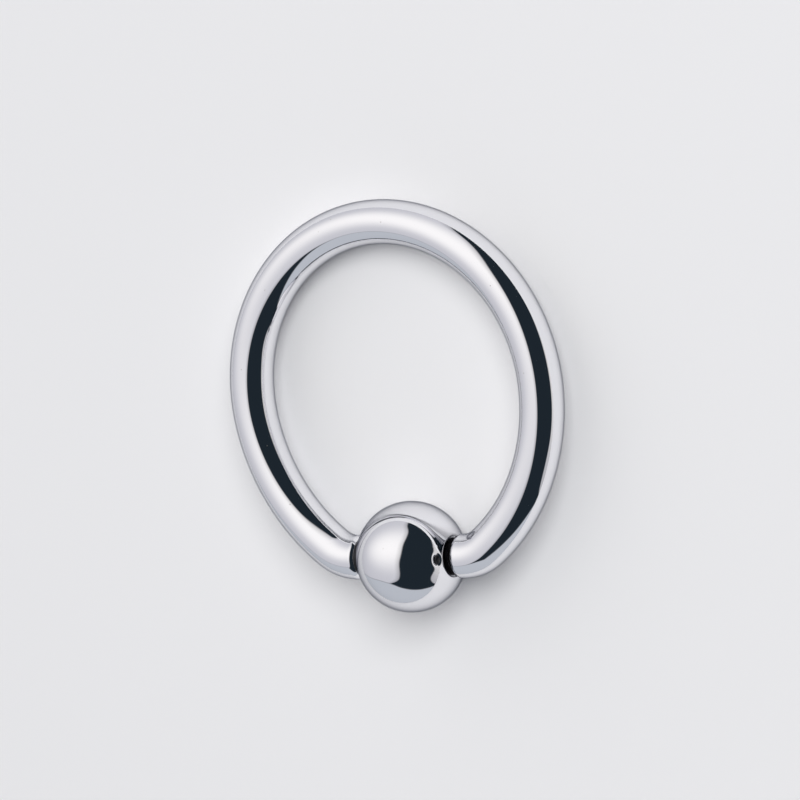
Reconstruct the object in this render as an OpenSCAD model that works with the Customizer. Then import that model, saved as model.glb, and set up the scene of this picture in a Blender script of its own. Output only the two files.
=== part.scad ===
// Captive bead ring, lying as it rests: on its bead and on the far side of its wire.
// Millimetres. Z is up, X runs along the bead's dimples, and the bead lies towards -Y.

/* [Wire] */
// Thickness of the round wire
wire_d = 1.2; // [1:0.1:1.6]
// Clear width inside the ring
inner_d = 8; // [7:0.5:12]
// Angle round from the bead at which the left arm starts to run straighter
left_arm_from = 80; // [70:1:90]
// Angle round from the bead at which the right arm starts to run straighter
right_arm_from = 90; // [70:1:90]
// Radius, at the wire's middle, of the bend that turns each end in to the bead
end_bend_r = 1.3; // [1:0.1:2]
// Length of each rounded end, from its tip to where the wire is full thickness
tip_len = 0.4; // [0.3:0.05:0.5]
// Radius that rounds the rim of each end
tip_round_r = 0.2; // [0.1:0.05:0.25]

/* [Bead] */
// Diameter of the bead
bead_d = 3; // [2.6:0.1:4]
// How far the bead's centre lies inside the circle of the wire's middle
bead_inset = 0.14; // [0:0.02:0.3]
// Depth of each dimple below its mouth
dimple_depth = 0.2; // [0.15:0.05:0.4]
// Radius that rounds the lip of each dimple
lip_r = 0.08; // [0.04:0.01:0.1]
// Width, at the bead's surface, of the small pit beside one dimple
pit_d = 0.2; // [0.16:0.02:0.22]
// Depth of the pit below its mouth
pit_depth = 0.08; // [0.04:0.01:0.09]
// Distance over the bead's surface from the dimple's lip to the middle of the pit
pit_off = 0.17; // [0.12:0.01:0.5]

/* [Fit] */
// How much narrower than the wire the mouth of each dimple is, all round
mouth_lap = 0.03; // [0:0.01:0.05]
// How far each end reaches in past the mouth of its dimple
tip_reach = 0.1; // [0.02:0.01:0.12]

/* [Hidden] */
wire_r = wire_d / 2;
bead_r = bead_d / 2;
spine_r = inner_d / 2 + wire_r;
bead_drop = spine_r - bead_inset;

// Dimples: the radius and place of their mouths, and of the round hollow behind
mouth_r = wire_r - mouth_lap;
mouth_x = sqrt(bead_r * bead_r - mouth_r * mouth_r);
dimple_r = (mouth_r * mouth_r + dimple_depth * dimple_depth) / (2 * dimple_depth);
dimple_x = mouth_x - dimple_depth + dimple_r;

// Lips: the middle of the rounding that touches the bead's surface and the dimple's
lip_x = (pow(bead_r - lip_r, 2) - pow(dimple_r + lip_r, 2) + dimple_x * dimple_x) / (2 * dimple_x);
lip_out = sqrt(pow(bead_r - lip_r, 2) - lip_x * lip_x);

// Pit: the radius of the ball that cuts it, how far out the ball's middle lies, and at what angle
pit_r = pit_d / 2;
pit_ball_r = (pit_r * pit_r + pit_depth * pit_depth) / (2 * pit_depth);
pit_out = sqrt(bead_r * bead_r - pit_r * pit_r) - pit_depth + pit_ball_r;
pit_angle = atan2(lip_out, lip_x) + 360 * pit_off / (PI * bead_d);

// Wire ends: a low dome that runs into the rounded rim without a crease
tip_x = mouth_x - tip_reach;
round_x = tip_x + tip_len;
round_out = wire_r - tip_round_r;
dome_r = (round_out * round_out + tip_len * tip_len - tip_round_r * tip_round_r)
    / (2 * (tip_len - tip_round_r));
dome_x = tip_x + dome_r;

// The ring lies tilted, because the bead is thicker than the wire
tilt = asin((bead_r - wire_r) / (bead_drop + spine_r));
depth = (bead_drop + spine_r) * cos(tilt) + bead_r + wire_r;
bead_y = bead_r - depth / 2;

// How far the ball that closes each joint between two arcs stands proud of the wire
joint_proud = 0.002;

$fn = 96;

// Radius of an arm that leaves the main circle at an angle and meets the end bend without a crease
function arm_r(from) =
    let (in = end_bend_r, up = bead_drop - in, out = round_x)
    spine_r + (up * up + out * out - pow(spine_r - in, 2))
        / (2 * (spine_r - in - up * cos(from) - out * sin(from)));

// Angle round from the bead at which an arm meets its end bend
function bend_angle(from) =
    let (r = arm_r(from))
    asin((round_x + (r - spine_r) * sin(from)) / (r - end_bend_r));

// Puts a shape drawn about the bead's centre, with the ring in the XY plane, where it rests
module at_rest() {
    translate([0, bead_y, bead_r]) rotate([-tilt, 0, 0]) children();
}

// Turns a half outline, out to the right and along the bead's axis upwards, into a round solid
module turned() {
    rotate([0, 90, 0]) rotate_extrude() children();
}

// Arc of wire about the Z axis, between two angles measured round from -Y towards +X
module wire_arc(r, from, to) {
    rotate([0, 0, from - 90])
        rotate_extrude(angle = to - from)
            translate([r, 0]) circle(wire_r);
}

// Ball that closes the joint where two arcs of wire meet
module wire_joint(r, at) {
    rotate([0, 0, at - 90])
        translate([r, 0, 0]) rotate([90, 0, 0]) sphere(wire_r + joint_proud);
}

// One arm on the +X side, from its start on the main circle to its rounded end
module arm(from) {
    r = arm_r(from);
    bend = bend_angle(from);
    translate([(spine_r - r) * sin(from), bead_drop - (spine_r - r) * cos(from), 0]) {
        wire_arc(r, bend, from);
        wire_joint(r, from);
        wire_joint(r, bend);
    }
    translate([round_x, end_bend_r, 0]) wire_arc(end_bend_r, 0, bend);
    turned() tip_outline();
}

// Half outline of a wire end: the rim's rounding, and the dome inside the line between their middles
module tip_outline() {
    intersection() {
        union() {
            translate([round_out, round_x]) circle(tip_round_r);
            intersection() {
                translate([0, dome_x]) circle(dome_r);
                polygon([[0, dome_x], [0, 0], [round_out * dome_x / (dome_x - round_x), 0]]);
            }
        }
        square([wire_r, round_x]);
    }
}

// Half outline of the corner that the lip's rounding takes off, on the +X side
module lip_corner() {
    lip = [lip_out, lip_x];
    to_bead = lip_r * lip / norm(lip);
    to_dimple = lip_r * ([0, dimple_x] - lip) / norm([0, dimple_x] - lip);
    difference() {
        polygon([lip, lip + 2 * to_bead, lip + 2 * to_bead + 2 * to_dimple, lip + 2 * to_dimple]);
        translate(lip) circle(lip_r);
    }
}

module ring() {
    color("silver")
        at_rest()
            union() {
                translate([0, bead_drop, 0]) wire_arc(spine_r, right_arm_from, 360 - left_arm_from);
                arm(right_arm_from);
                mirror([1, 0, 0]) arm(left_arm_from);
            }
}

// Half outline of the bead, with the hollow and the rounded lip of each dimple taken off
module bead_outline() {
    difference() {
        intersection() {
            circle(bead_r);
            translate([0, -bead_r]) square([bead_r, bead_d]);
        }
        for (side = [0, 1])
            mirror([0, side]) {
                translate([0, dimple_x]) circle(dimple_r);
                lip_corner();
            }
    }
}

// Ball that cuts the small pit, beside the +X dimple and above it
module pit() {
    rotate([0, -pit_angle, 0]) translate([pit_out, 0, 0]) sphere(pit_ball_r);
}

module bead() {
    color("gainsboro")
        at_rest()
            difference() {
                turned() bead_outline();
                pit();
            }
}

ring();
bead();
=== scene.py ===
"""Captive bead ring in polished steel, lying on a pale studio floor.

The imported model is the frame. Two finely meshed pieces stand for its two nodes, in the same
shape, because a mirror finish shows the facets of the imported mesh.

Metres, with Z up, X along the line through the bead's dimples, and the bead towards -Y. Sizes of
the object are written in millimetres, as a maker gives them.
"""

import logging
import math
from dataclasses import dataclass
from enum import Enum

import bpy
import numpy as np
from mathutils import Matrix, Vector

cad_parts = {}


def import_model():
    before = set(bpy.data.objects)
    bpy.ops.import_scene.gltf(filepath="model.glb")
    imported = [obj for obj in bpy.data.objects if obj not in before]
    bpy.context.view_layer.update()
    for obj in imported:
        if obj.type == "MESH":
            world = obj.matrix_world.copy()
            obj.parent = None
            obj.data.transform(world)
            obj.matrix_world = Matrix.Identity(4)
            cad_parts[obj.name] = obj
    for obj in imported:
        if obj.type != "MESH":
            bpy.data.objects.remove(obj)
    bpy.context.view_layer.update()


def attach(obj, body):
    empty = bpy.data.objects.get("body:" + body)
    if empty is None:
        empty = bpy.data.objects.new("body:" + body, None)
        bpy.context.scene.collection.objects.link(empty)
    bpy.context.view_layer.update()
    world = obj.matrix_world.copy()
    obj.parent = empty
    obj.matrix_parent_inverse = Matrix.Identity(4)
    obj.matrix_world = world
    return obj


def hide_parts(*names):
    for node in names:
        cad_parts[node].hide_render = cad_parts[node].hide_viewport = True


MM = 0.001
LOG = logging.getLogger("captive_bead_ring")
# the mesh attribute that says where dark shade is painted on the steel, in the dimples, the pit and
# at the wire's tips
PAINTED_SHADE_ATTRIBUTE = "painted_shade"

# a closed mesh: its points, the corner numbers of all faces in one line, each face's corner count
Skin = tuple[np.ndarray, np.ndarray, np.ndarray]
# a line on the light tent's chart: each point's place, and the line's value there
Outline = tuple[tuple[float, float], ...]


def arc(
    centre: tuple[float, float], radius: float, start: float, stop: float, steps: int
) -> np.ndarray:
    """Gives points on an arc of a circle, at centre plus radius times (cos, sin) of the angle.

    Args:
        centre: the circle's middle.
        radius: its radius.
        start: angle of the first point, in radians.
        stop: angle of the last point, in radians.
        steps: number of equal steps between them.

    Returns:
        An array of steps + 1 points by two.
    """
    angle = np.linspace(start, stop, steps + 1)
    return np.array(centre) + radius * np.column_stack([np.cos(angle), np.sin(angle)])


def closed_skin(rows: np.ndarray, first: np.ndarray, last: np.ndarray) -> Skin:
    """Joins rings of points into one closed skin with a pole at each end.

    Point k of ring j has the number j * sides + k. A cell between two rings is one quad, the
    last cell of a ring wraps back to its point 0, and a fan of triangles closes each pole.

    Args:
        rows: points as rings by sides by three, turning left round the way of travel.
        first: the pole before the first ring.
        last: the pole after the last ring.

    Returns:
        The points, the corner numbers of all faces in one line, and each face's corner count.
    """
    count, sides, _ = rows.shape
    points = np.concatenate([rows.reshape(-1, 3), first[None, :], last[None, :]])
    here = np.arange(count * sides).reshape(count, sides)
    turned = np.roll(here, -1, axis=1)
    quads = np.stack([here[:-1], turned[:-1], turned[1:], here[1:]], axis=-1).reshape(-1, 4)
    front = np.stack([np.full(sides, count * sides), turned[0], here[0]], axis=-1)
    back = np.stack([np.full(sides, count * sides + 1), here[-1], turned[-1]], axis=-1)
    corners = np.concatenate([quads.ravel(), front.ravel(), back.ravel()])
    sizes = np.concatenate([np.full(len(quads), 4), np.full(2 * sides, 3)])
    return points, corners, sizes


def make_piece(name: str, skin: Skin, painted_shade: np.ndarray) -> bpy.types.Object:
    """Puts a closed skin into a new smooth-shaded object that sits at the origin.

    Args:
        name: the object's name.
        skin: points in metres, corner numbers and corner counts, as closed_skin gives them.
        painted_shade: for each point, one where dark shade is painted on and the steel is rougher,
            down to nought.

    Returns:
        The new object.
    """
    points, corners, sizes = skin
    mesh = bpy.data.meshes.new(name)
    mesh.vertices.add(len(points))
    mesh.vertices.foreach_set("co", points.astype(np.float32).ravel())
    mesh.loops.add(len(corners))
    mesh.loops.foreach_set("vertex_index", corners.astype(np.int32))
    mesh.polygons.add(len(sizes))
    mesh.polygons.foreach_set("loop_start", (np.cumsum(sizes) - sizes).astype(np.int32))
    mesh.update(calc_edges=True)
    mesh.shade_smooth()
    marks = mesh.attributes.new(PAINTED_SHADE_ATTRIBUTE, "FLOAT", "POINT")
    marks.data.foreach_set("value", painted_shade.astype(np.float32))
    piece = bpy.data.objects.new(name, mesh)
    bpy.context.scene.collection.objects.link(piece)
    return piece


@dataclass(frozen=True)
class Bead:
    """The loose ball with a dimple on each side. Millimetres, about the ball's centre.

    The pit's angle is in degrees, from the +X axis up. Its edge, fade and reach are on the scale
    of pit_distance, where one is the pit's outline.
    """

    diameter: float = 3.0
    mouth_radius: float = 0.57
    dimple_depth: float = 0.2
    lip_radius: float = 0.08
    pit_angle: float = 30.0
    pit_aside: float = 0.03
    pit_width: float = 0.21
    pit_length: float = 0.28
    pit_depth: float = 0.08
    pit_rounding: float = 0.5
    # where the painted shade in the pit ends, and how fast it fades there
    pit_edge: float = 1.1
    pit_fade: float = 4.0
    pit_reach: float = 7.0
    # radius round the X axis of each dimple floor that gets painted shade
    hollow_radius: float = 0.5
    ball_steps: int = 120
    lip_steps: int = 16
    hollow_steps: int = 24
    sides: int = 256

    @property
    def radius(self) -> float:
        """Radius of the ball."""
        return self.diameter / 2

    @property
    def mouth_x(self) -> float:
        """Distance from the ball's centre to the plane of each mouth."""
        return math.sqrt(self.radius**2 - self.mouth_radius**2)

    def outline(self) -> np.ndarray:
        """Gives the half outline from the floor of one dimple, round the ball, to the other.

        Three arcs that touch without a crease, then their mirror image: the ball, the lip that
        rounds the dimple's edge, and the dimple's hollow. The lip's middle is where circles
        inset by the lip's radius from the ball and from the hollow meet.

        Returns:
            Points by two: place along the X axis, and distance from it.
        """
        ball, lip = self.radius, self.lip_radius
        hollow = (self.mouth_radius**2 + self.dimple_depth**2) / (2 * self.dimple_depth)
        hollow_x = self.mouth_x - self.dimple_depth + hollow
        lip_x = ((ball - lip) ** 2 - (hollow + lip) ** 2 + hollow_x**2) / (2 * hollow_x)
        lip_out = math.sqrt((ball - lip) ** 2 - lip_x**2)
        towards_ball = math.atan2(lip_out, lip_x)
        towards_hollow = math.atan2(-lip_out, hollow_x - lip_x)
        half = np.concatenate(
            [
                arc((0, 0), ball, math.pi / 2, towards_ball, self.ball_steps),
                arc((lip_x, lip_out), lip, towards_ball, towards_hollow, self.lip_steps)[1:],
                arc((hollow_x, 0), hollow, math.pi + towards_hollow, math.pi, self.hollow_steps)[1:],
            ]
        )
        return np.concatenate([half[::-1] * (-1, 1), half[1:]])

    def skin(self) -> Skin:
        """Turns the half outline about the X axis.

        The place along X stays, and the distance from the axis goes round as (cos, sin).

        Returns:
            The closed skin, in millimetres.
        """
        line = self.outline()
        turn = np.linspace(0, 2 * np.pi, self.sides, endpoint=False)
        along, out = line[1:-1, :1], line[1:-1, 1:]
        rows = np.stack([along + 0 * turn, out * np.cos(turn), out * np.sin(turn)], axis=-1)
        poles = np.column_stack([line[[0, -1], 0], np.zeros((2, 2))])
        return closed_skin(self.pitted(rows), poles[0], poles[1])

    def pit_distance(self, points: np.ndarray) -> np.ndarray:
        """Measures from the middle of the small oval pit beside the +X dimple's lip.

        A point's place across and along the pit are each taken over the pit's half size that way,
        squared, and added up. On the far side of the ball the pit's reach stands instead.

        Args:
            points: points about the ball's centre, with three numbers on the last axis.

        Returns:
            The squared distance, which is one at the pit's edge.
        """
        tip = math.radians(self.pit_angle)
        across = points @ np.array([-math.sin(tip), 0, math.cos(tip)]) / (self.pit_width / 2)
        along = (points[..., 1] - self.pit_aside) / (self.pit_length / 2)
        outward = points @ np.array([math.cos(tip), 0, math.sin(tip)])
        return np.where(outward > 0, across**2 + along**2, self.pit_reach)

    def pitted(self, rows: np.ndarray) -> np.ndarray:
        """Sinks the pit into the round ball, with a dished rim.

        A point sinks towards the ball's centre by the depth times the smooth positive part of
        t = 1 - the squared distance, which is (t + the root of (t squared + rounding squared)) / 2.
        From the pit's reach on, nothing sinks.

        Args:
            rows: points of the round ball, as rings by sides by three.

        Returns:
            The same points with the pit in them.
        """
        inside = 1 - self.pit_distance(rows)
        sink = self.pit_depth * (inside + np.sqrt(inside**2 + self.pit_rounding**2)) / 2
        sink = np.where(inside > 1 - self.pit_reach, sink, 0)
        return rows * (1 - sink / self.radius)[..., None]

    def painted_shade(self, points: np.ndarray) -> np.ndarray:
        """Marks where dark shade is painted and the steel is rougher: the floors of the dimples and
        the pit.

        A point is on a dimple's floor when it is near the X axis and far enough out along it. In
        the pit the mark is the fade times (the edge - the squared distance), held to nought to one.

        Args:
            points: the skin's points, about the ball's centre.

        Returns:
            For each point a number from nought, where nothing is painted, to one.
        """
        along, out = np.abs(points[:, 0]), np.hypot(points[:, 1], points[:, 2])
        floor = (out < self.hollow_radius) & (along > self.mouth_x - 2 * self.dimple_depth)
        pit = np.clip(self.pit_fade * (self.pit_edge - self.pit_distance(points)), 0, 1)
        return np.maximum(floor, pit)


class Side(Enum):
    """The two arms of the wire: the right one lies towards +X."""

    RIGHT = "right"
    LEFT = "left"


@dataclass(frozen=True)
class WireRing:
    """The bent wire. Millimetres, in the XY plane about the bead's centre, open towards +Y.

    An angle is measured round from -Y towards +X, and is also the heading of the wire there. The
    arms' start angles and the step along the wire are in degrees.
    """

    wire_diameter: float = 1.2
    inner_diameter: float = 8.0
    right_arm_from: float = 90.0
    left_arm_from: float = 80.0
    end_bend_radius: float = 1.3
    bead_inset: float = 0.14
    tip_reach: float = 0.1
    tip_length: float = 0.4
    tip_rounding: float = 0.2
    # how far from each tip the painted shade reaches
    painted_shade_length: float = 0.25
    dome_steps: int = 24
    rim_steps: int = 16
    sides: int = 96
    step: float = 0.45

    @property
    def wire_radius(self) -> float:
        """Radius of the wire."""
        return self.wire_diameter / 2

    @property
    def spine_radius(self) -> float:
        """Radius of the circle that the wire's middle follows."""
        return self.inner_diameter / 2 + self.wire_radius

    @property
    def bead_drop(self) -> float:
        """Distance from the middle of that circle to the bead's centre."""
        return self.spine_radius - self.bead_inset

    def arm(self, side: Side, round_x: float) -> tuple[float, float, float]:
        """Works out the arm that leaves the main circle and meets the end bend without a crease.

        Args:
            side: which arm.
            round_x: distance from the bead's centre to the start of the rounded end.

        Returns:
            Its start angle and its end angle in radians, and its radius.
        """
        start = math.radians(self.right_arm_from if side is Side.RIGHT else self.left_arm_from)
        bend, spine = self.end_bend_radius, self.spine_radius
        up = self.bead_drop - bend
        slack = up * up + round_x**2 - (spine - bend) ** 2
        share = spine - bend - up * math.cos(start) - round_x * math.sin(start)
        radius = spine + slack / (2 * share)
        end = math.asin((round_x + (radius - spine) * math.sin(start)) / (radius - bend))
        return start, end, radius

    def tip(self, tip_x: float) -> np.ndarray:
        """Gives a rounded end's half outline: a low dome that runs into the rim's rounding.

        Args:
            tip_x: distance from the bead's centre to the tip.

        Returns:
            Points by two, from the tip to the full wire: place along the X axis, and out from it.
        """
        round_x = tip_x + self.tip_length
        out = self.wire_radius - self.tip_rounding
        spare = out**2 + self.tip_length**2 - self.tip_rounding**2
        dome = spare / (2 * (self.tip_length - self.tip_rounding))
        meet = math.atan2(out, round_x - tip_x - dome)
        return np.concatenate(
            [
                arc((tip_x + dome, 0), dome, math.pi, meet, self.dome_steps),
                arc((round_x, out), self.tip_rounding, meet, math.pi / 2, self.rim_steps)[1:],
            ]
        )

    def skin(self, bead: Bead) -> Skin:
        """Carries a circle along the wire's middle line, from the right tip round to the left.

        The middle line's heading a runs from 0 to a full turn. Each step adds the bend's radius
        there times the change of (sin a, -cos a). The circle at a station is its middle plus the
        wire's radius times cos b of (sin a, -cos a) and sin b of -Z. In the rounded ends the
        middle stays on the X axis and the radius follows the end's outline.

        Args:
            bead: the ball that the two ends reach in to.

        Returns:
            The closed skin, in millimetres.
        """
        tip_x = bead.mouth_x - self.tip_reach
        round_x = tip_x + self.tip_length
        right, left = self.arm(Side.RIGHT, round_x), self.arm(Side.LEFT, round_x)
        stops = [0.0, right[1], right[0], 2 * np.pi - left[0], 2 * np.pi - left[1], 2 * np.pi]
        radii = [self.end_bend_radius, right[2], self.spine_radius, left[2], self.end_bend_radius]
        counts = [math.ceil(span / math.radians(self.step)) for span in np.diff(stops)]
        spans = [np.linspace(*ends, count + 1) for *ends, count in zip(stops, stops[1:], counts)]
        heading = np.concatenate([spans[0][:1]] + [span[1:] for span in spans])
        bend = np.repeat(radii, counts)
        outward = np.column_stack([np.sin(heading), -np.cos(heading)])
        middle = np.array([round_x, 0]) + np.concatenate(
            [np.zeros((1, 2)), np.cumsum(bend[:, None] * np.diff(outward, axis=0), axis=0)]
        )
        cap = self.tip(tip_x)[1:-1]
        flat = np.zeros(len(cap))
        full = np.full(len(middle), self.wire_radius)
        radius = np.concatenate([cap[:, 1], full, cap[::-1, 1]])
        heading = np.concatenate([flat, heading, flat])
        right_cap = np.column_stack([cap[:, 0], flat])
        middle = np.concatenate([right_cap, middle, right_cap[::-1] * (-1, 1)])
        turn = np.linspace(0, 2 * np.pi, self.sides, endpoint=False)
        side, drop = radius[:, None] * np.cos(turn), radius[:, None] * np.sin(turn)
        rows = np.stack(
            [
                middle[:, :1] + side * np.sin(heading)[:, None],
                middle[:, 1:] - side * np.cos(heading)[:, None],
                -drop,
            ],
            axis=-1,
        )
        return closed_skin(rows, np.array([tip_x, 0, 0]), np.array([-tip_x, 0, 0]))

    def painted_shade(self, points: np.ndarray, bead: Bead) -> np.ndarray:
        """Marks the tips of the rounded ends, where dark shade is painted and the steel is rougher.

        Args:
            points: the skin's points, about the bead's centre.
            bead: the ball that the two ends reach in to.

        Returns:
            One or nought for each point.
        """
        reach = bead.mouth_x - self.tip_reach + self.painted_shade_length
        return ((np.abs(points[:, 0]) < reach) & (points[:, 1] < bead.radius)).astype(float)


@dataclass(frozen=True)
class RestingPlace:
    """How the ring lies: on the ball and on the far side of the wire, so it is a little tilted."""

    ring: WireRing
    bead: Bead

    def settle(self, skin: Skin) -> Skin:
        """Tips a skin about the X axis, sets it on the floor, centred, and turns it to metres.

        Args:
            skin: a skin in millimetres about the bead's centre, with the ring in the XY plane.

        Returns:
            The same skin in the frame's place.
        """
        reach = self.ring.bead_drop + self.ring.spine_radius
        wire, ball = self.ring.wire_radius, self.bead.radius
        tilt = math.asin((ball - wire) / reach)
        depth = reach * math.cos(tilt) + ball + wire
        points, corners, sizes = skin
        x, y, z = points.T
        placed = np.column_stack(
            [
                x,
                ball - depth / 2 + y * math.cos(tilt) + z * math.sin(tilt),
                ball - y * math.sin(tilt) + z * math.cos(tilt),
            ]
        )
        return placed * MM, corners, sizes


@dataclass(frozen=True)
class Viewpoint:
    """The photographer's place. Degrees and millimetres, with the aim in the frame's axes."""

    azimuth: float = 109.59
    elevation: float = 54.55
    roll: float = -115.08
    distance: float = 184.0
    aim: tuple[float, float, float] = (0.1068, 0.1582, 1.0383)
    lens: float = 309.58
    sensor_width: float = 36.0
    nearest: float = 10.0
    farthest: float = 10000.0

    def build(self) -> bpy.types.Object:
        """Makes the camera and makes it the scene's.

        Azimuth 0 looks along +Y and 90 along -X. Roll turns the picture left about the line of sight.

        Returns:
            The camera object.
        """
        side, high, roll = (math.radians(v) for v in (self.azimuth, self.elevation, self.roll))
        level_back = Vector((math.sin(side), -math.cos(side), 0))
        back = level_back * math.cos(high) + Vector((0, 0, math.sin(high)))
        level = Vector((0, 0, 1)).cross(back).normalized()
        upright = back.cross(level)
        right = level * math.cos(roll) + upright * math.sin(roll)
        data = bpy.data.cameras.new("photographer")
        data.lens = self.lens
        data.sensor_width = self.sensor_width
        data.clip_start, data.clip_end = self.nearest * MM, self.farthest * MM
        camera = bpy.data.objects.new("photographer", data)
        turn = Matrix((right, back.cross(right), back)).transposed().to_4x4()
        place = (Vector(self.aim) + back * self.distance) * MM
        camera.matrix_world = Matrix.Translation(place) @ turn
        bpy.context.scene.collection.objects.link(camera)
        bpy.context.scene.camera = camera
        return camera


def linear(code: str) -> tuple[float, float, float, float]:
    """Turns an sRGB hex code into a linear colour.

    A part up to 0.04045 is divided by 12.92. A larger one becomes ((part + 0.055) / 1.055) to
    the 2.4.

    Args:
        code: the colour as "#rrggbb".

    Returns:
        Red, green, blue and an alpha of one, each from nought to one.
    """
    part = np.array([int(code[i : i + 2], 16) for i in (1, 3, 5)]) / 255
    red, green, blue = np.where(part <= 0.04045, part / 12.92, ((part + 0.055) / 1.055) ** 2.4)
    return float(red), float(green), float(blue), 1.0


def add_node(
    tree: bpy.types.NodeTree,
    kind: str,
    settings: dict[str, object] | None = None,
    inputs: dict[str | int, object] | None = None,
) -> bpy.types.Node:
    """Adds a node with its settings, its socket values and the links that come in to it.

    Only the sockets that the settings leave in use count, so a number or a name finds the one
    that the node shows.

    Args:
        tree: the tree that gets the node.
        kind: the node's type name, after "ShaderNode".
        settings: values for the node's own properties.
        inputs: for each input, by name or number, its value, the output socket to link from, or
            the node whose first output in use is linked.

    Returns:
        The new node.
    """
    node = tree.nodes.new("ShaderNode" + kind)
    for key, value in (settings or {}).items():
        setattr(node, key, value)
    used = [socket for socket in node.inputs if socket.enabled]
    for key, value in (inputs or {}).items():
        target = used[key] if isinstance(key, int) else next(s for s in used if s.name == key)
        if isinstance(value, bpy.types.Node):
            value = next(output for output in value.outputs if output.enabled)
        if isinstance(value, bpy.types.NodeSocket):
            tree.links.new(value, target)
        else:
            target.default_value = value
    return node


@dataclass(frozen=True)
class PolishedSteel:
    """Surgical steel, tumbled and buffed to a mirror.

    The eye sees the room in it, a little softened, with edges that waver where the buffing
    wheel left the surface uneven, faint wipe marks, a few specks of dust, and a darker rim
    where the surface turns away. In the dimples, the pit and at the wire's tips a dark shade is
    painted on, and the steel there is rougher.
    """

    name: str
    base: str = "#f6f6f9"
    rim: str = "#8a8c92"
    roughness: float = 0.03
    wipe_roughness: float = 0.025
    wipe_mm: float = 1.6
    wipe_detail: float = 3.0
    wipe_grain: float = 0.6
    wipe_span: tuple[float, float] = (0.35, 0.7)
    waver_mm: float = 1.1
    waver_height_mm: float = 0.0006
    # buffing lines are a few thousandths of a millimetre apart, so they are drawn coarser to show
    hairline_mm: float = 0.05
    hairline_height_mm: float = 0.000012
    hairline_turn: tuple[float, float, float] = (0.5, 0.9, 0.4)
    hairline_stretch: float = 16.0
    hairline_detail: float = 2.0
    dust_mm: float = 0.42
    dust_size: float = 0.045
    dust_roughness: float = 0.5
    dust_colour: str = "#c9c6c0"
    # a dark grey painted on as shade in the dimples, the pit and at the wire's tips, and the
    # roughness there
    painted_shade: str = "#5a5a5c"
    painted_shade_roughness: float = 0.4

    def build(self) -> bpy.types.Material:
        """Makes the material. Each pattern's scale is one over its wavelength in metres.

        The wipe marks, the dust and the places of painted shade each add to the roughness, and the
        last two also cover the steel's colour: the dust with its own, and the painted shade with a
        dark grey that stands in for the shade in the hollows and at the wire's tips.

        Returns:
            The new material.
        """
        material = bpy.data.materials.new(self.name)
        material.use_nodes = True
        tree = material.node_tree
        tree.nodes.clear()
        place = add_node(tree, "TexCoord").outputs["Object"]
        # where dark shade is painted on the steel
        painted_shade_mask = add_node(tree, "Attribute", {"attribute_name": PAINTED_SHADE_ATTRIBUTE}).outputs["Fac"]
        dust = self.dust(tree, place)
        rough = self.wipes(tree, place)
        for share, added in ((dust, self.dust_roughness), (painted_shade_mask, self.painted_shade_roughness)):
            terms = {0: share, 1: added, 2: rough}
            rough = add_node(tree, "Math", {"operation": "MULTIPLY_ADD"}, terms)
        colour = linear(self.base)
        # the dust's own colour, then the dark painted shade in the dimples, the pit and at the wire's
        # tips
        for share, over in ((dust, self.dust_colour), (painted_shade_mask, self.painted_shade)):
            shades = {0: share, "A": colour, "B": linear(over)}
            colour = add_node(tree, "Mix", {"data_type": "RGBA"}, shades)
        looks = {
            "Base Color": colour,
            "Metallic": 1.0,
            "Roughness": rough,
            "Normal": self.relief(tree, place),
            "Specular Tint": linear(self.rim),
        }
        shader = add_node(tree, "BsdfPrincipled", {}, looks)
        add_node(tree, "OutputMaterial", {}, {"Surface": shader})
        return material

    def wipes(self, tree: bpy.types.NodeTree, place: bpy.types.NodeSocket) -> bpy.types.Node:
        """Lays faint wipe marks: patches of a noise, each a little rougher than the steel.

        Args:
            tree: the material's tree.
            place: the place on the object.

        Returns:
            The node that gives the roughness of the steel with its wipe marks.
        """
        pattern = {
            "Vector": place,
            "Scale": 1 / (self.wipe_mm * MM),
            "Detail": self.wipe_detail,
            "Roughness": self.wipe_grain,
        }
        span = {
            "Value": add_node(tree, "TexNoise", {}, pattern),
            "From Min": self.wipe_span[0],
            "From Max": self.wipe_span[1],
            "To Min": self.roughness,
            "To Max": self.roughness + self.wipe_roughness,
        }
        return add_node(tree, "MapRange", {}, span)

    def dust(self, tree: bpy.types.NodeTree, place: bpy.types.NodeSocket) -> bpy.types.Node:
        """Scatters specks: a speck is where the nearest of a set of scattered points is close.

        Args:
            tree: the material's tree.
            place: the place on the object.

        Returns:
            The node that gives one inside a speck and nought outside.
        """
        scatter = {"Vector": place, "Scale": 1 / (self.dust_mm * MM)}
        grains = add_node(tree, "TexVoronoi", {}, scatter)
        span = {"Value": grains, "From Min": self.dust_size, "From Max": self.dust_size / 2}
        return add_node(tree, "MapRange", {}, span)

    def relief(self, tree: bpy.types.NodeTree, place: bpy.types.NodeSocket) -> bpy.types.Node:
        """Makes the surface waver, and lays buffing lines over it.

        The lines are a noise that is drawn out along one slanting way.

        Args:
            tree: the material's tree.
            place: the place on the object.

        Returns:
            The node that gives the surface's normal.
        """
        pattern = {"Vector": place, "Scale": 1 / (self.waver_mm * MM), "Detail": 0.0}
        waver = add_node(tree, "TexNoise", {}, pattern)
        swell = {"Strength": 1.0, "Distance": self.waver_height_mm * MM, "Height": waver}
        uneven = add_node(tree, "Bump", {}, swell)
        stretch = (1.0, 1 / self.hairline_stretch, 1.0)
        slant = {"Vector": place, "Rotation": self.hairline_turn, "Scale": stretch}
        along = add_node(tree, "Mapping", {}, slant)
        hair_scale = 1 / (self.hairline_mm * MM)
        pattern = {"Vector": along, "Scale": hair_scale, "Detail": self.hairline_detail}
        hairs = add_node(tree, "TexNoise", {}, pattern)
        hair_height = self.hairline_height_mm * MM
        lines = {"Strength": 1.0, "Distance": hair_height, "Height": hairs, "Normal": uneven}
        return add_node(tree, "Bump", {}, lines)


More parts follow.
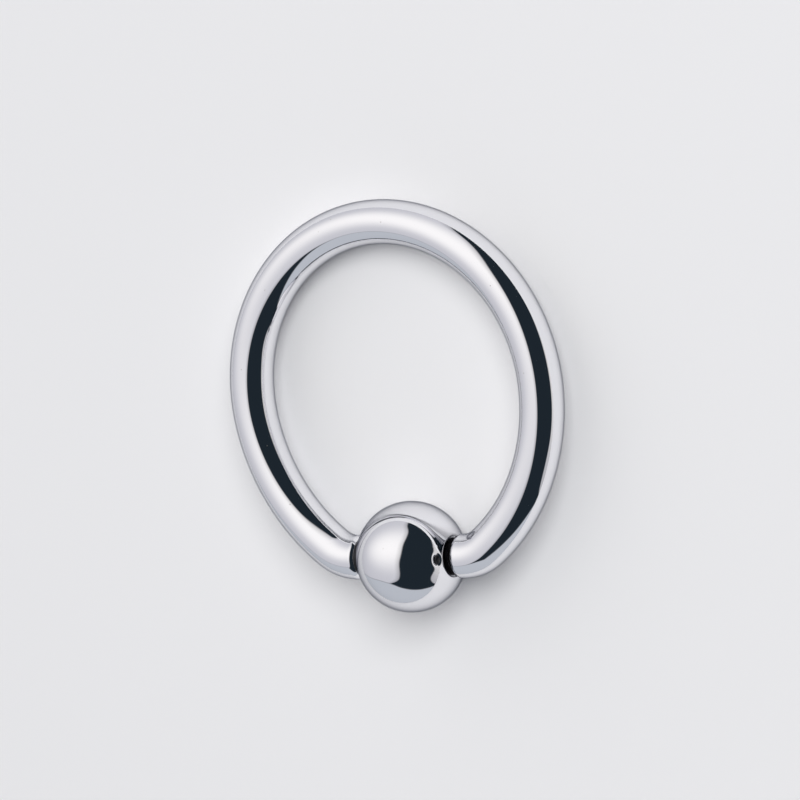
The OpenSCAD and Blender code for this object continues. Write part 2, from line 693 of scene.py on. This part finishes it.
@dataclass(frozen=True)
class Glow:
    """A lamp behind the tent's cloth: a broad, flat-topped hill of light, on the tent's chart."""

    right: float
    up: float
    width: float
    height: float
    steepness: float = 2.5

    def hill(self, tree: bpy.types.NodeTree, chart: bpy.types.Node) -> bpy.types.Node:
        """Draws the hill, one at its middle and nought far away.

        It is e to the minus d to the steepness. d is the length of the way from the lamp's middle,
        with its share right over the hill's width and its share up over the hill's height.

        Args:
            tree: the world's tree.
            chart: the node that gives a direction's place on the chart.

        Returns:
            The node that gives the hill's height.
        """
        middle = (self.right, self.up, 0.0)
        size = (1 / self.width, 1 / self.height, 0.0)
        away = add_node(tree, "VectorMath", {"operation": "SUBTRACT"}, {0: chart, 1: middle})
        away = add_node(tree, "VectorMath", {"operation": "MULTIPLY"}, {0: away, 1: size})
        away = add_node(tree, "VectorMath", {"operation": "LENGTH"}, {0: away})
        steep = add_node(tree, "Math", {"operation": "POWER"}, {0: away, 1: self.steepness})
        minus = add_node(tree, "Math", {"operation": "MULTIPLY"}, {0: steep, 1: -1.0})
        return add_node(tree, "Math", {"operation": "EXPONENT"}, {0: minus})


@dataclass(frozen=True)
class LightTent:
    """A white tent of lit cloth over the table, with a dark opening for the photographer.

    It is far away, so it is the world's light. It is charted as the photographer would draw it
    from the ring: a direction's place right and up is its share right and up over one plus its
    share back towards the camera, so straight behind the camera is nought and a right angle is one.
    """

    brightness: float = 1.1
    cloth: str = "#c1c1c7"
    lamp: str = "#f8f6f5"
    opening: str = "#1d252c"
    front: str = "#b4b8bf"
    hem_shade: str = "#dadada"
    seam_shade: str = "#c4c4c4"
    glow: Glow = Glow(-0.45, 0.18, 0.72, 0.4)
    fill: Glow = Glow(0.62, 0.05, 0.26, 0.5)
    hem: float = 0.12
    seam: float = 0.02
    softness: float = 0.02
    # the opening's two sides: how high on the chart, then how far right
    left_side: Outline = (
        (-0.75, -0.6),
        (-0.6, -0.47),
        (-0.5, -0.31),
        (-0.43, -0.25),
        (-0.08, -0.225),
        (0.05, -0.195),
        (0.24, -0.155),
        (0.38, -0.1),
        (0.5, -0.07),
        (0.72, -0.09),
        (0.95, 0.04),
    )
    right_side: Outline = (
        (-0.78, 0.75),
        (-0.66, 0.6),
        (-0.52, 0.43),
        (-0.43, 0.4),
        (-0.23, 0.475),
        (0.05, 0.455),
        (0.3, 0.41),
        (0.5, 0.36),
        (0.69, 0.3),
        (0.95, 0.14),
    )
    # the line where the tent's sides meet its front panel: how far right, then how high
    foot: Outline = (
        (-1.45, -0.67),
        (-0.45, -0.6),
        (-0.2, -0.67),
        (0.1, -0.715),
        (0.35, -0.7),
        (0.6, -0.66),
        (1.0, -0.64),
    )
    # the curves are drawn from minus this to this, and no direction is taken as nearer than this
    reach: float = 2.0
    least_depth: float = 0.05

    def edge(
        self, tree: bpy.types.NodeTree, at: bpy.types.NodeSocket, points: Outline
    ) -> bpy.types.Node:
        """Draws a line on the chart as a smooth curve through points.

        A curve node runs from nought to one both ways, so the chart is fitted to that and back.

        Args:
            tree: the world's tree.
            at: the place that the line is read at.
            points: the line's points, each a place and the line's value there.

        Returns:
            The node that gives the line's value.
        """
        reach = self.reach
        share = add_node(tree, "MapRange", {}, {"Value": at, "From Min": -reach, "From Max": reach})
        curve = add_node(tree, "FloatCurve", {}, {"Value": share})
        line = curve.mapping.curves[0]
        fitted = ((np.array(points) + reach) / (2 * reach)).tolist()
        line.points[0].location = (0.0, fitted[0][1])
        line.points[1].location = (1.0, fitted[-1][1])
        for place, value in fitted:
            line.points.new(place, value)
        curve.mapping.update()
        return add_node(tree, "MapRange", {}, {"Value": curve, "To Min": -reach, "To Max": reach})

    def chart(self, tree: bpy.types.NodeTree, camera: bpy.types.Object) -> bpy.types.Node:
        """Charts the direction that is looked in.

        The direction is turned into the camera's axes, and then divided by one plus its share
        back, which is never taken as less than the least depth.

        Args:
            tree: the world's tree.
            camera: the camera, for the way that the tent is turned.

        Returns:
            The node that gives the place on the chart: how far right, and how high.
        """
        way = add_node(tree, "TexCoord").outputs["Generated"]
        turn = camera.matrix_world.to_3x3().transposed().to_euler()
        turned = add_node(tree, "Mapping", {}, {"Vector": way, "Rotation": turn})
        back = add_node(tree, "SeparateXYZ", {}, {0: turned}).outputs["Z"]
        depth = add_node(tree, "Math", {"operation": "ADD"}, {0: back, 1: 1.0})
        depth = add_node(tree, "Math", {"operation": "MAXIMUM"}, {0: depth, 1: self.least_depth})
        return add_node(tree, "VectorMath", {"operation": "DIVIDE"}, {0: turned, 1: depth})

    def build(self, camera: bpy.types.Object) -> None:
        """Makes the world.

        The opening is where the place right lies between its sides and the height is above the
        foot. The cloth is darker along the opening's left hem, and a thin dark seam runs along
        the foot. The layers are laid over the cloth in turn: the glow of the lamps, the hem, the
        front panel, the seam, and the opening last.

        Args:
            camera: the camera, for the way that the tent is turned.
        """
        world = bpy.data.worlds.new("light_tent")
        world.use_nodes = True
        tree = world.node_tree
        tree.nodes.clear()
        chart = self.chart(tree, camera)
        place = add_node(tree, "SeparateXYZ", {}, {0: chart})
        right, up = place.outputs["X"], place.outputs["Y"]

        left_edge = self.edge(tree, up, self.left_side)
        right_edge = self.edge(tree, up, self.right_side)
        foot = self.edge(tree, right, self.foot)
        past_left = add_node(tree, "Math", {"operation": "SUBTRACT"}, {0: right, 1: left_edge})
        past_right = add_node(tree, "Math", {"operation": "SUBTRACT"}, {0: right_edge, 1: right})
        over_foot = add_node(tree, "Math", {"operation": "SUBTRACT"}, {0: up, 1: foot})
        nearest = add_node(tree, "Math", {"operation": "MINIMUM"}, {0: past_left, 1: past_right})
        nearest = add_node(tree, "Math", {"operation": "MINIMUM"}, {0: nearest, 1: over_foot})
        off_foot = add_node(tree, "Math", {"operation": "ABSOLUTE"}, {0: over_foot})
        glow, fill = self.glow.hill(tree, chart), self.fill.hill(tree, chart)
        lit = add_node(tree, "Math", {"operation": "MAXIMUM"}, {0: glow, 1: fill})

        # each share rises smoothly from nought to one between the two values of its line
        soft = self.softness
        hem, front, seam, inside = (
            add_node(
                tree,
                "MapRange",
                {"interpolation_type": "SMOOTHSTEP"},
                {"Value": line, "From Min": none, "From Max": full},
            )
            for line, none, full in (
                (past_left, -self.hem, 0.0),
                (over_foot, soft, -soft),
                (off_foot, self.seam, 0.0),
                (nearest, -soft, soft),
            )
        )
        colour = linear(self.cloth)
        for share, blend, over in (
            (lit, "MIX", self.lamp),
            (hem, "MULTIPLY", self.hem_shade),
            (front, "MIX", self.front),
            (seam, "MULTIPLY", self.seam_shade),
            (inside, "MIX", self.opening),
        ):
            layer = {"data_type": "RGBA", "blend_type": blend}
            colour = add_node(tree, "Mix", layer, {0: share, "A": colour, "B": linear(over)})
        light = add_node(tree, "Background", {}, {"Color": colour, "Strength": self.brightness})
        add_node(tree, "OutputWorld", {}, {"Surface": light})
        bpy.context.scene.world = world


@dataclass(frozen=True)
class MattCard:
    """White card, uncoated. The eye sees an even pale ground with soft shadows and no shine."""

    colour: str = "#efeff0"
    roughness: float = 0.8

    def build(self) -> bpy.types.Material:
        """Makes the material, one even colour."""
        material = bpy.data.materials.new("uncoated white card")
        material.use_nodes = True
        tree = material.node_tree
        tree.nodes.clear()
        looks = {"Base Color": linear(self.colour), "Roughness": self.roughness}
        shader = add_node(tree, "BsdfPrincipled", {}, looks)
        add_node(tree, "OutputMaterial", {}, {"Surface": shader})
        return material


@dataclass(frozen=True)
class Floor:
    """The pale table that the ring lies on. Millimetres."""

    width: float = 3000.0
    card: MattCard = MattCard()

    def build(self) -> bpy.types.Object:
        """Makes a square of card at height nought.

        Returns:
            The floor object.
        """
        half = self.width / 2 * MM
        corners = [(-half, -half, 0), (half, -half, 0), (half, half, 0), (-half, half, 0)]
        mesh = bpy.data.meshes.new("floor")
        mesh.from_pydata(corners, [], [(0, 1, 2, 3)])
        floor = bpy.data.objects.new("floor", mesh)
        mesh.materials.append(self.card.build())
        bpy.context.scene.collection.objects.link(floor)
        return floor


@dataclass(frozen=True)
class KeyLamp:
    """A soft lamp that lights the table from above the photographer. The steel doesn't mirror it.

    The way to it is in the camera's axes. Millimetres and watts.
    """

    way: tuple[float, float, float] = (-0.05, 0.2, 0.98)
    distance: float = 600.0
    width: float = 350.0
    power: float = 2.5

    def build(self, camera: bpy.types.Object) -> bpy.types.Object:
        """Makes the lamp, aimed at the ring.

        Args:
            camera: the camera, for the way to the lamp.

        Returns:
            The lamp object.
        """
        aim = camera.matrix_world.to_3x3() @ Vector(self.way).normalized()
        data = bpy.data.lights.new("key", "AREA")
        data.shape = "DISK"
        data.size = self.width * MM
        data.energy = self.power
        lamp = bpy.data.objects.new("key", data)
        turn = aim.to_track_quat("Z", "Y").to_matrix().to_4x4()
        lamp.matrix_world = Matrix.Translation(aim * self.distance * MM) @ turn
        lamp.visible_glossy = False
        bpy.context.scene.collection.objects.link(lamp)
        return lamp


def main() -> None:
    """Loads the frame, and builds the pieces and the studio."""
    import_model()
    bead, ring = Bead(), WireRing()
    rest = RestingPlace(ring, bead)
    steel = {
        "wire_steel": PolishedSteel("316L surgical steel, drawn and buffed").build(),
        "bead_steel": PolishedSteel("316L surgical steel, ground and tumbled").build(),
    }
    skins = {"ring": ring.skin(bead), "bead": bead.skin()}
    # where each piece gets dark painted shade and more roughness
    painted_shade_mask = {"ring": ring.painted_shade(skins["ring"][0], bead), "bead": bead.painted_shade(skins["bead"][0])}
    for node, slot in (("ring", "wire_steel"), ("bead", "bead_steel")):
        piece = make_piece(f"polished_{node}", rest.settle(skins[node]), painted_shade_mask[node])
        piece.data.materials.append(steel[slot])
        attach(piece, node)
        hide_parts(node)
        LOG.info("%s: %d faces", piece.name, len(piece.data.polygons))
    camera = Viewpoint().build()
    LightTent().build(camera)
    KeyLamp().build(camera)
    Floor().build()
    bpy.context.scene.view_settings.view_transform = "Standard"


if __name__ == "__main__":
    logging.basicConfig(level=logging.INFO)
    main()
